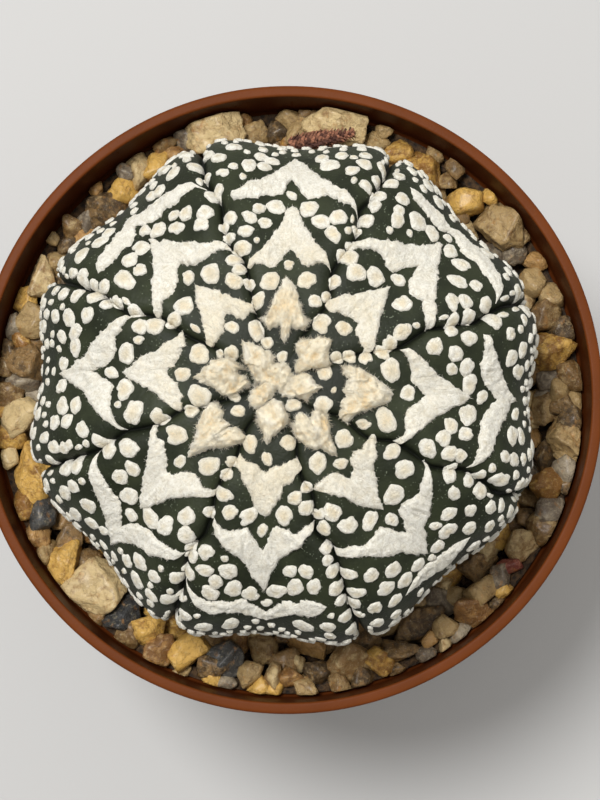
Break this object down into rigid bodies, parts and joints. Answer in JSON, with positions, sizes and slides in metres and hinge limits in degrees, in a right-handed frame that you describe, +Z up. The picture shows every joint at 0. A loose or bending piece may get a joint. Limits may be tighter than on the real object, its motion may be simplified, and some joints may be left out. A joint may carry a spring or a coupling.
{
  "type": "potted cactus",
  "caption": "Round ribbed star cactus with white felt chevrons and flecks, in a tapered plastic pot with a dressing of coarse stone chips.",
  "frame": {"origin": "middle of the pot's foot, on the surface that it stands on", "axes": "+Z up out of the pot along its axis, +Y towards the top of the picture, +X towards its right"},
  "size_m": [0.0898, 0.0898, 0.1108],
  "materials": {
    "pot": "satin, terracotta-coloured",
    "potting_mix": "loose and dark",
    "plant": "dark green skin with white felt",
    "dried_flower": "dry and papery",
    "grit": "rough, mixed gold, cream and grey",
    "stone_cream": "rough quartz",
    "stone_gold": "rough, iron-stained quartz",
    "stone_slate": "rough, dark"
  },
  "bodies": {
    "root": {"pot": "pot", "potting_mix": "potting_mix", "cactus": "plant", "dried_flower": "dried_flower", "top_dressing": "grit", "stone_cream_southwest": "stone_cream", "stone_gold_southwest": "stone_gold", "stone_gold_west": "stone_gold", "stone_slate_south": "stone_slate", "stone_cream_north": "stone_cream", "stone_green_north": "stone_cream", "stone_cream_northeast": "stone_cream", "stone_peach_east": "stone_cream"}
  },
  "joints": []
}
